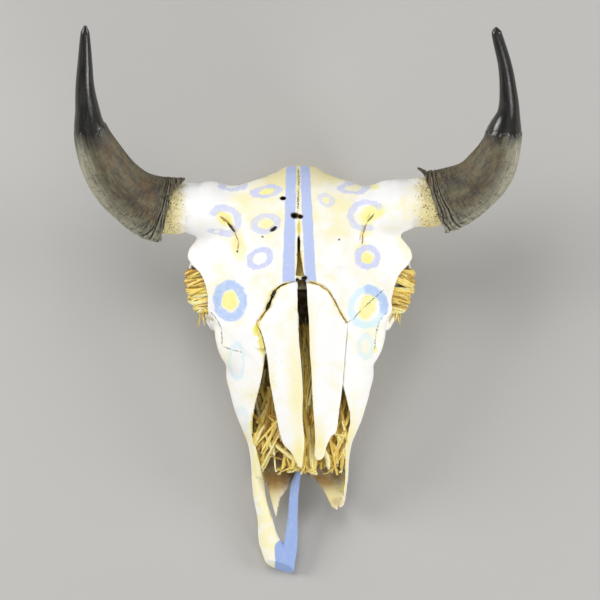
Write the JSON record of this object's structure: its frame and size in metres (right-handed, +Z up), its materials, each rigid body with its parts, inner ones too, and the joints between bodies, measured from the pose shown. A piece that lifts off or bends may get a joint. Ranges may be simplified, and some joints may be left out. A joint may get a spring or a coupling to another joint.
{
  "type": "bison skull",
  "caption": "Life-size bison skull without its lower jaw, lying on its tooth rows, with dark horn sheaths, painted stripes and rings, and dried grass in the eye sockets and nose.",
  "frame": {"origin": "centre of the skull's outline on the floor that it lies on", "axes": "+Z up; +Y from the nose towards the nape, the longest side; +X towards the skull's own left horn"},
  "size_m": [0.5974, 0.6732, 0.3558],
  "materials": {
    "bone": "dry weathered bone, near white with cream stains and thin pale blue paint",
    "horn_keratin": "ridged brown-grey horn, worn smooth and dark towards the tip",
    "dried_grass": "dry golden straw"
  },
  "bodies": {
    "root": {"cranium": "bone", "zygomatic_arch_left": "bone", "zygomatic_arch_right": "bone", "maxilla_right": "bone", "maxilla_left": "bone", "nasal_right": "bone", "nasal_left": "bone", "premaxilla_right": "bone", "horn_sheath_right": "horn_keratin", "horn_sheath_left": "horn_keratin", "grass_orbit_right": "dried_grass", "grass_orbit_left": "dried_grass", "grass_nose": "dried_grass"}
  },
  "joints": []
}
